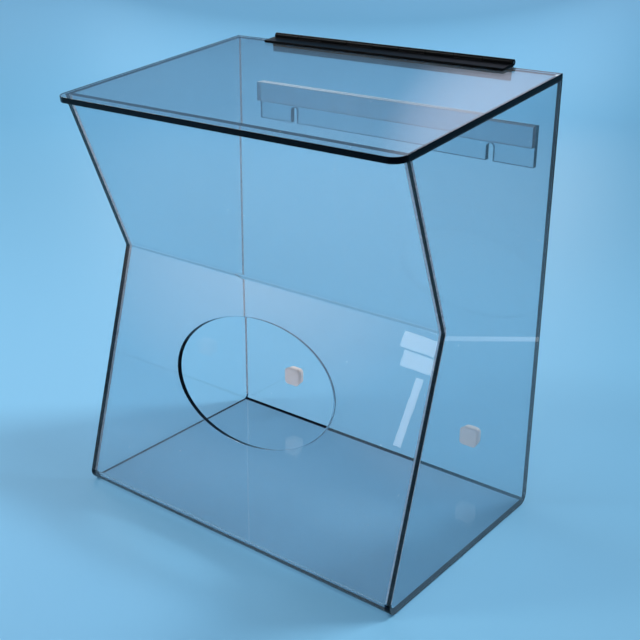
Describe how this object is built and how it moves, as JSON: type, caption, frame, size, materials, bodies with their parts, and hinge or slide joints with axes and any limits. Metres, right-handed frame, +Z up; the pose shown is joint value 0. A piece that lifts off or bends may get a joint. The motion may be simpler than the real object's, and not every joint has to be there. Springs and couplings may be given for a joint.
{
  "type": "donation box",
  "caption": "Clear sheet box with a waisted front, an oval hand hole low in front, a sloping lid on a rear strip hinge, and a notched strip and bumpers for hanging on a wall.",
  "frame": {"origin": "bottom centre of the bounding box, on the surface the box stands on", "axes": "+X to the right seen from the front, +Y to the back and the wall, +Z up"},
  "size_m": [0.305, 0.2125, 0.3529],
  "materials": {
    "clear_sheet": "clear cast acrylic, polished faces and edges",
    "hinge_plastic": "satin black extruded plastic",
    "pin_steel": "drawn wire",
    "bumper_rubber": "pale translucent soft rubber"
  },
  "bodies": {
    "box": {"wrap_sheet": "clear_sheet", "left_side_panel": "clear_sheet", "right_side_panel": "clear_sheet", "hinge_back_leaf": "hinge_plastic", "hinge_pin": "pin_steel", "hanger_spacer": "clear_sheet", "hanger_strip": "clear_sheet", "left_bumper": "bumper_rubber", "right_bumper": "bumper_rubber"},
    "lid": {"lid_panel": "clear_sheet", "hinge_lid_leaf": "hinge_plastic"}
  },
  "joints": [
    {"name": "lid_hinge", "type": "hinge", "parent": "box", "child": "lid", "pos_m": [0, 0.09957, 0.35048], "axis": [-1, 0, 0], "range_deg": [0, 98]}
  ]
}
